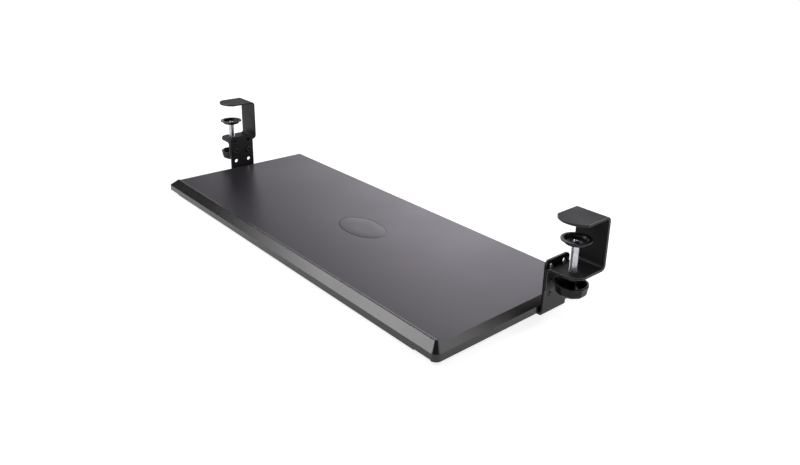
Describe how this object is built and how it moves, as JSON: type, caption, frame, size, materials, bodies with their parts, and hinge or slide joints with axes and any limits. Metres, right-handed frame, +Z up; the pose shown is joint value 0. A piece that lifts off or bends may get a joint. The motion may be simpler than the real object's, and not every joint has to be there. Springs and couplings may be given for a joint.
{
  "type": "clamp-on keyboard tray",
  "caption": "Wide flat keyboard tray with bevelled edges that runs on under-tray rails between two bolted brackets, each hung from a screw clamp for a desk edge.",
  "frame": {"origin": "middle of the overall box, on the plane of the bracket flanges' lower faces, which is the surface it stands on", "axes": "+X to the user's right along the tray, +Y away from the user towards the desk, +Z up"},
  "size_m": [0.769, 0.27, 0.1321],
  "materials": {
    "tray_plastic": "fine satin moulding",
    "badge_film": "matt film",
    "black_steel": "satin powder coat",
    "black_oxide": "black oxide",
    "zinc_steel": "bright zinc plate",
    "black_plastic": "satin moulding"
  },
  "bodies": {
    "tray": {"tray_panel": "tray_plastic", "badge_disc": "badge_film", "left_rail": "zinc_steel", "right_rail": "zinc_steel", "rail_screws": "zinc_steel", "rail_stops": "black_plastic"},
    "left_unit": {"left_slide_bracket": "black_steel", "left_glide_shoe": "black_plastic", "left_shoe_rivets": "zinc_steel", "left_clamp_frame": "black_steel", "left_thread_bush": "black_steel", "left_bracket_bolts": "black_oxide"},
    "right_unit": {"right_slide_bracket": "black_steel", "right_glide_shoe": "black_plastic", "right_shoe_rivets": "zinc_steel", "right_clamp_frame": "black_steel", "right_thread_bush": "black_steel", "right_bracket_bolts": "black_oxide"},
    "left_pad": {"left_pressure_pad": "black_steel"},
    "right_pad": {"right_pressure_pad": "black_steel"},
    "left_screw": {"left_clamp_screw": "zinc_steel", "left_knob": "black_plastic"},
    "right_screw": {"right_clamp_screw": "zinc_steel", "right_knob": "black_plastic"}
  },
  "joints": [
    {"name": "left_slide", "type": "slide", "parent": "tray", "child": "left_unit", "axis": [0, 1, 0], "range_m": [-0.0395, 0.1595]},
    {"name": "right_slide", "type": "slide", "parent": "tray", "child": "right_unit", "axis": [0, 1, 0], "range_m": [-0.0905, 0.1085]},
    {"name": "left_lift", "type": "slide", "parent": "left_unit", "child": "left_pad", "axis": [0, 0, 1], "range_m": [-0.03562, 0.0112]},
    {"name": "right_lift", "type": "slide", "parent": "right_unit", "child": "right_pad", "axis": [0, 0, 1], "range_m": [-0.02632, 0.0205]},
    {"name": "left_turn", "type": "hinge", "parent": "left_pad", "child": "left_screw", "pos_m": [-0.3647, -0.0555, 0.0858], "axis": [0, 0, 1], "range_deg": [-8590, 2730]},
    {"name": "right_turn", "type": "hinge", "parent": "right_pad", "child": "right_screw", "pos_m": [0.3647, -0.0045, 0.0765], "axis": [0, 0, 1], "range_deg": [-6360, 4965]}
  ],
  "couplings": [
    {"joint": "left_turn", "follows": "left_lift", "rad_per_m": 4188.8},
    {"joint": "right_turn", "follows": "right_lift", "rad_per_m": 4188.8}
  ]
}
